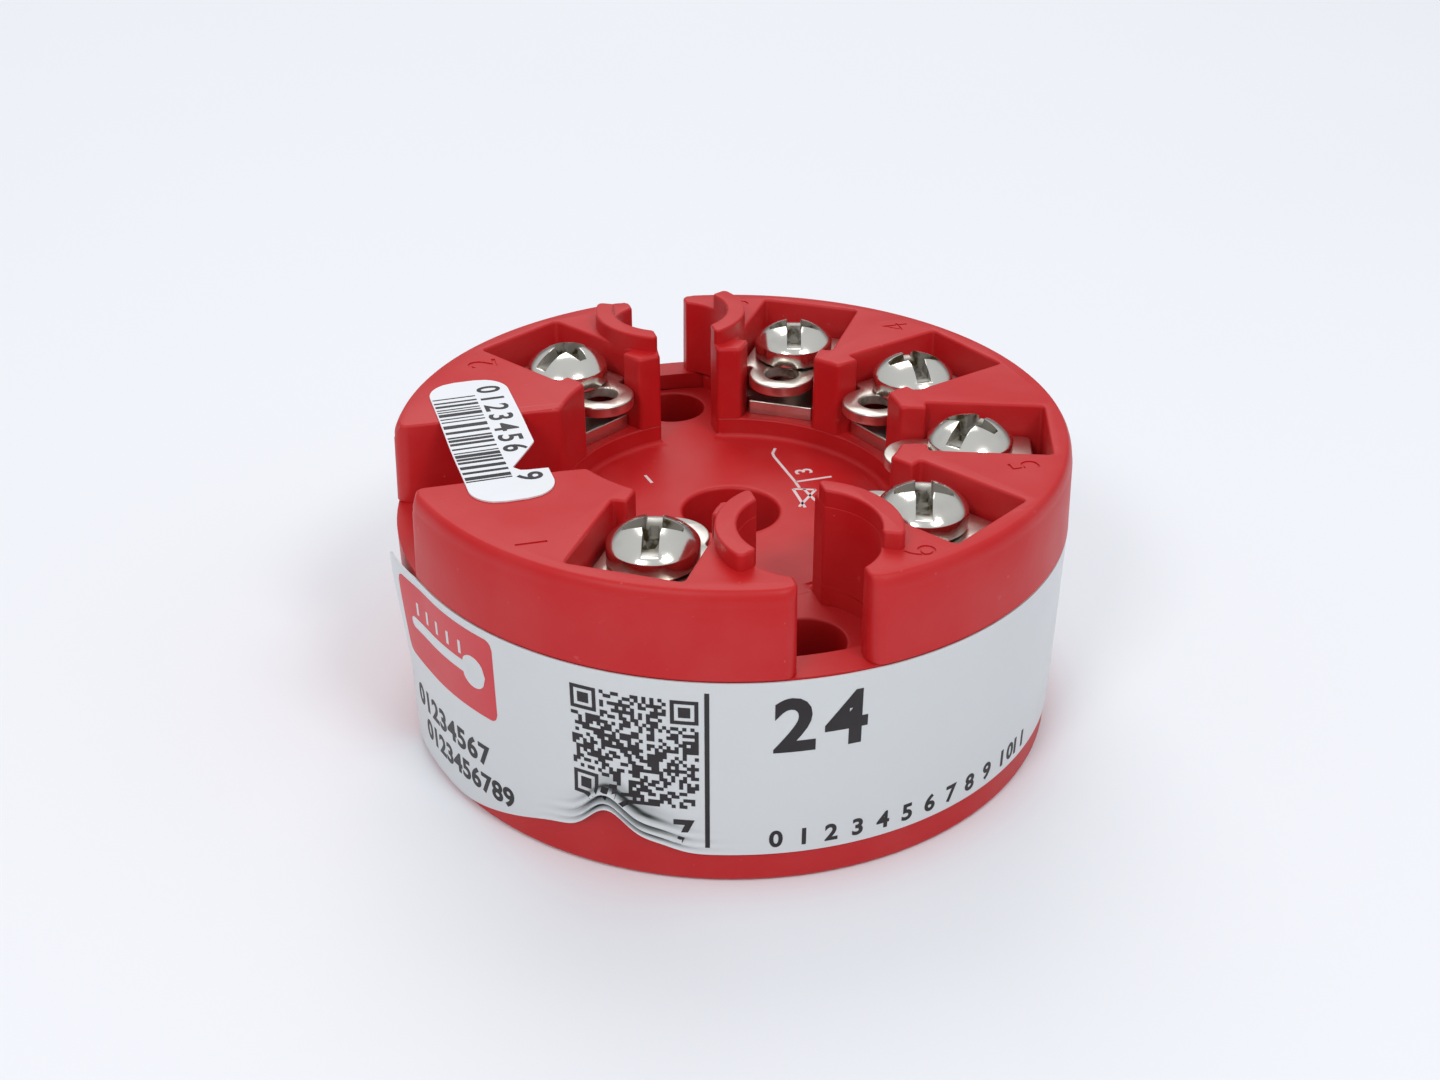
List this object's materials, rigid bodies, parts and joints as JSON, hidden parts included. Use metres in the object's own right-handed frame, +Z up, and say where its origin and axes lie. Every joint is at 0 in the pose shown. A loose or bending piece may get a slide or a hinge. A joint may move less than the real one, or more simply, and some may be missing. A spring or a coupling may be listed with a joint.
{
  "type": "temperature transmitter",
  "caption": "Round head-mounted temperature transmitter with red screw-terminal cover, wire channel, central lead passage and through holes for fixing screws.",
  "frame": {"origin": "centre of the lead passage at the resting face of the cup", "axes": "+Z up out of the terminal cover, the two fixing holes on the Y axis, the wire channel towards -X"},
  "size_m": [0.044, 0.044, 0.0213],
  "materials": {
    "cup_plastic": "fine moulded texture, red",
    "cover_plastic": "satin moulded red",
    "nickel": "nickel plate",
    "label_film": "satin grey-white film",
    "sticker_paper": "white coated paper",
    "board_laminate": "green solder mask",
    "package_black": "moulded black",
    "can_aluminium": "drawn can"
  },
  "bodies": {
    "housing": {"base_cup": "cup_plastic", "terminal_cover": "cover_plastic", "circuit_board": "board_laminate", "isolation_transformer": "package_black", "processor_chip": "package_black", "converter_chip": "package_black", "voltage_regulator": "package_black", "filter_capacitors": "can_aluminium", "wrap_label": "label_film", "barcode_sticker": "sticker_paper", "terminal_plate_1": "nickel", "terminal_plate_2": "nickel", "terminal_plate_3": "nickel", "terminal_plate_4": "nickel", "terminal_plate_5": "nickel", "terminal_plate_6": "nickel"},
    "clamp_1": {"wire_clamp_1": "nickel"},
    "screw_1": {"terminal_screw_1": "nickel"},
    "clamp_2": {"wire_clamp_2": "nickel"},
    "screw_2": {"terminal_screw_2": "nickel"},
    "clamp_3": {"wire_clamp_3": "nickel"},
    "screw_3": {"terminal_screw_3": "nickel"},
    "clamp_4": {"wire_clamp_4": "nickel"},
    "screw_4": {"terminal_screw_4": "nickel"},
    "clamp_5": {"wire_clamp_5": "nickel"},
    "screw_5": {"terminal_screw_5": "nickel"},
    "clamp_6": {"wire_clamp_6": "nickel"},
    "screw_6": {"terminal_screw_6": "nickel"}
  },
  "joints": [
    {"name": "clamp_1_lift", "type": "slide", "parent": "housing", "child": "clamp_1", "axis": [0, 0, 1], "range_m": [-0.0014, 0.0006]},
    {"name": "screw_1_turn", "type": "hinge", "parent": "clamp_1", "child": "screw_1", "pos_m": [-0.00827, -0.01299, 0.0189], "axis": [0, 0, 1], "range_deg": [-1009, 433]},
    {"name": "clamp_2_lift", "type": "slide", "parent": "housing", "child": "clamp_2", "axis": [0, 0, 1], "range_m": [-0.0014, 0.0006]},
    {"name": "screw_2_turn", "type": "hinge", "parent": "clamp_2", "child": "screw_2", "pos_m": [-0.00827, 0.01299, 0.0189], "axis": [0, 0, 1], "range_deg": [-1009, 433]},
    {"name": "clamp_3_lift", "type": "slide", "parent": "housing", "child": "clamp_3", "axis": [0, 0, 1], "range_m": [-0.0014, 0.0006]},
    {"name": "screw_3_turn", "type": "hinge", "parent": "clamp_3", "child": "screw_3", "pos_m": [0.00827, 0.01299, 0.0189], "axis": [0, 0, 1], "range_deg": [-1009, 433]},
    {"name": "clamp_4_lift", "type": "slide", "parent": "housing", "child": "clamp_4", "axis": [0, 0, 1], "range_m": [-0.0014, 0.0006]},
    {"name": "screw_4_turn", "type": "hinge", "parent": "clamp_4", "child": "screw_4", "pos_m": [0.01449, 0.00522, 0.0189], "axis": [0, 0, 1], "range_deg": [-1009, 433]},
    {"name": "clamp_5_lift", "type": "slide", "parent": "housing", "child": "clamp_5", "axis": [0, 0, 1], "range_m": [-0.0014, 0.0006]},
    {"name": "screw_5_turn", "type": "hinge", "parent": "clamp_5", "child": "screw_5", "pos_m": [0.01449, -0.00522, 0.0189], "axis": [0, 0, 1], "range_deg": [-1009, 433]},
    {"name": "clamp_6_lift", "type": "slide", "parent": "housing", "child": "clamp_6", "axis": [0, 0, 1], "range_m": [-0.0014, 0.0006]},
    {"name": "screw_6_turn", "type": "hinge", "parent": "clamp_6", "child": "screw_6", "pos_m": [0.00827, -0.01299, 0.0189], "axis": [0, 0, 1], "range_deg": [-1009, 433]}
  ],
  "couplings": [
    {"joint": "screw_1_turn", "follows": "clamp_1_lift", "rad_per_m": 12566},
    {"joint": "screw_2_turn", "follows": "clamp_2_lift", "rad_per_m": 12566},
    {"joint": "screw_3_turn", "follows": "clamp_3_lift", "rad_per_m": 12566},
    {"joint": "screw_4_turn", "follows": "clamp_4_lift", "rad_per_m": 12566},
    {"joint": "screw_5_turn", "follows": "clamp_5_lift", "rad_per_m": 12566},
    {"joint": "screw_6_turn", "follows": "clamp_6_lift", "rad_per_m": 12566}
  ]
}
